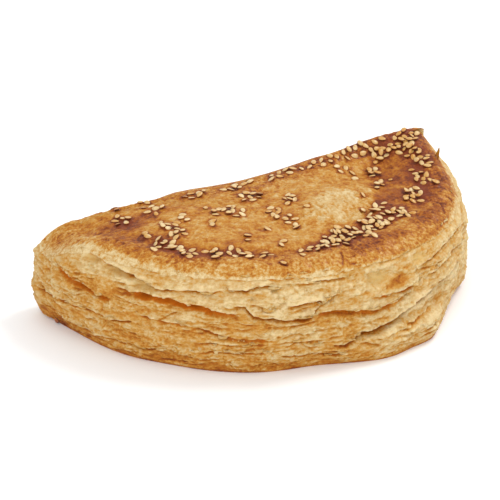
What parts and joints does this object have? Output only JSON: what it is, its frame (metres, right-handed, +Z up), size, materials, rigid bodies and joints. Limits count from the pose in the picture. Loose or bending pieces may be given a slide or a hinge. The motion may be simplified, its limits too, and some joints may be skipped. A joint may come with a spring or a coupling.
{
  "type": "empanada",
  "caption": "Half-moon empanada of puff pastry, baked golden: a sesame-strewn top crust over a pale, layered open side, with the fold at the back and a flat foot.",
  "frame": {"origin": "on the surface that the pastry rests on, under the middle of its bounding box", "axes": "+Z up; X along the straight fold at the back; -Y towards the curved open side that shows the layers"},
  "size_m": [0.1582, 0.0896, 0.047],
  "materials": {
    "baked_dough": "baked puff pastry, golden brown on top and pale at the layered side"
  },
  "bodies": {
    "root": {"empanada": "baked_dough"}
  },
  "joints": []
}
